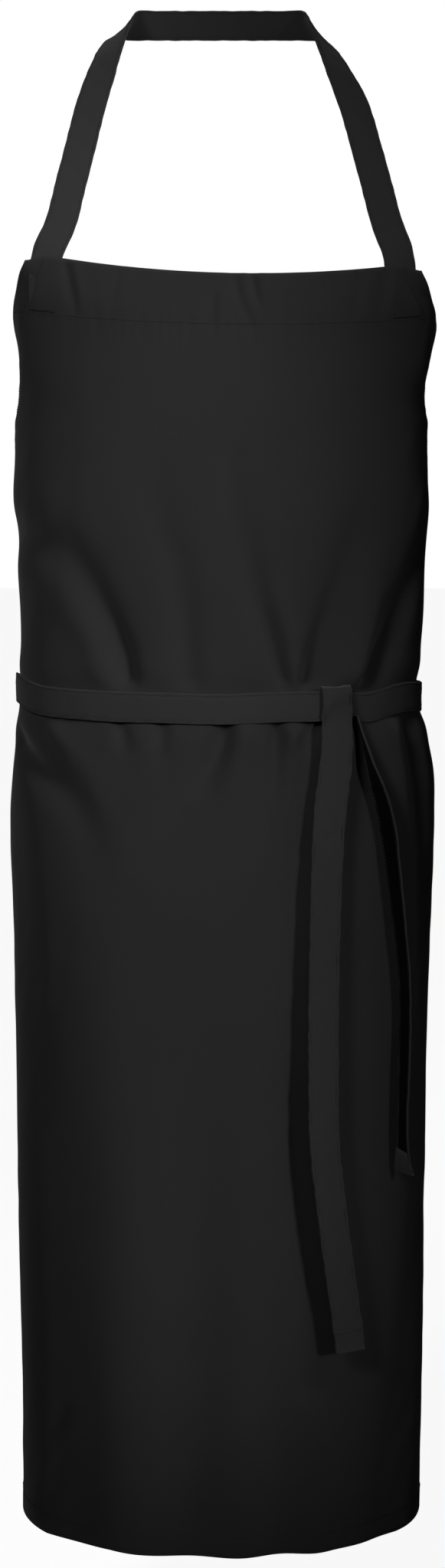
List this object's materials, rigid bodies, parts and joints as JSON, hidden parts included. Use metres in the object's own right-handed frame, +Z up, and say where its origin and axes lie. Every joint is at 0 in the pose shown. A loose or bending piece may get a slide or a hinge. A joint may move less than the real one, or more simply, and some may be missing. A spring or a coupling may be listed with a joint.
{
  "type": "bib apron",
  "caption": "Long black twill bib apron with a sewn neck strap and waist ties wrapped round and knotted at the front, hanging as worn.",
  "frame": {"origin": "middle of the neck strap's inner face, where it rests on the nape", "axes": "+Z up along the hanging cloth, -Y the way the front faces, +X to the right as seen from the front"},
  "size_m": [0.3812, 0.2581, 1.3486],
  "materials": {
    "cloth": "matt black woven twill",
    "strap": "matt black twill folded to four layers and stitched",
    "thread": "black sewing thread"
  },
  "bodies": {
    "neck_loop": {"neck_strap": "strap"},
    "apron": {"main_panel": "cloth", "bib_top_hem": "cloth", "armhole_hem_left": "cloth", "armhole_hem_right": "cloth", "side_hem_left": "cloth", "side_hem_right": "cloth", "bottom_hem": "cloth", "neck_strap_sewn_end_left": "strap", "neck_strap_sewn_end_right": "strap", "waist_tie_round_left": "strap", "waist_tie_round_right": "strap", "knot_wrap": "strap", "neck_bartack_left": "thread", "neck_bartack_right": "thread", "tie_bartack_left": "thread", "tie_bartack_right": "thread"},
    "front_tail": {"front_tail": "strap", "front_tail_end_hem": "strap"},
    "side_tail": {"side_tail": "strap", "side_tail_end_hem": "strap"}
  },
  "joints": [
    {"name": "bib_swing", "type": "hinge", "parent": "neck_loop", "child": "apron", "pos_m": [0, -0.1622, -0.2115], "axis": [-1, 0, 0], "range_deg": [-30, 90]},
    {"name": "front_tail_swing", "type": "hinge", "parent": "apron", "child": "front_tail", "pos_m": [0.1037, -0.1732, -0.6105], "axis": [-0.9139, -0.4059, 0], "range_deg": [0, 100]},
    {"name": "side_tail_swing", "type": "hinge", "parent": "apron", "child": "side_tail", "pos_m": [0.1215, -0.1665, -0.6134], "axis": [0.3499, -0.9368, 0], "range_deg": [0, 80]}
  ]
}
